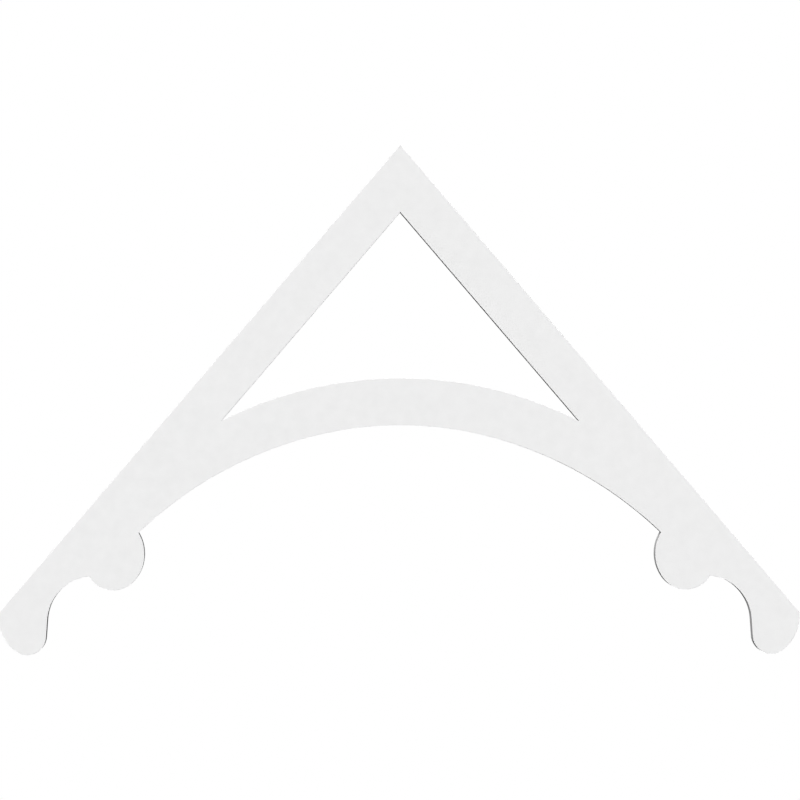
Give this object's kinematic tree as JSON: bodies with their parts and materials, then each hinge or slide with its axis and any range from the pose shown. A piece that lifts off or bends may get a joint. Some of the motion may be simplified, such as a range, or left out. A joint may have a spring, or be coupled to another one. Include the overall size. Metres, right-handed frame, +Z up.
{
  "type": "gable pediment",
  "caption": "Flat white gable pediment board: sloping rails meet at a peak, an arch ties them under a triangular opening, and each rail ends in a scalloped foot.",
  "frame": {"origin": "fixing point on the back face, on the centre line, 75 mm below the peak", "axes": "+X runs across the gable, +Z is up towards the peak, and +Y points out of the back face into the wall, so the front faces -Y"},
  "size_m": [1.525, 0.0254, 0.969],
  "materials": {
    "white_pvc": "satin white cellular PVC, smooth on both faces and a little duller on the routed edges"
  },
  "bodies": {
    "root": {"pediment_board": "white_pvc"}
  },
  "joints": []
}
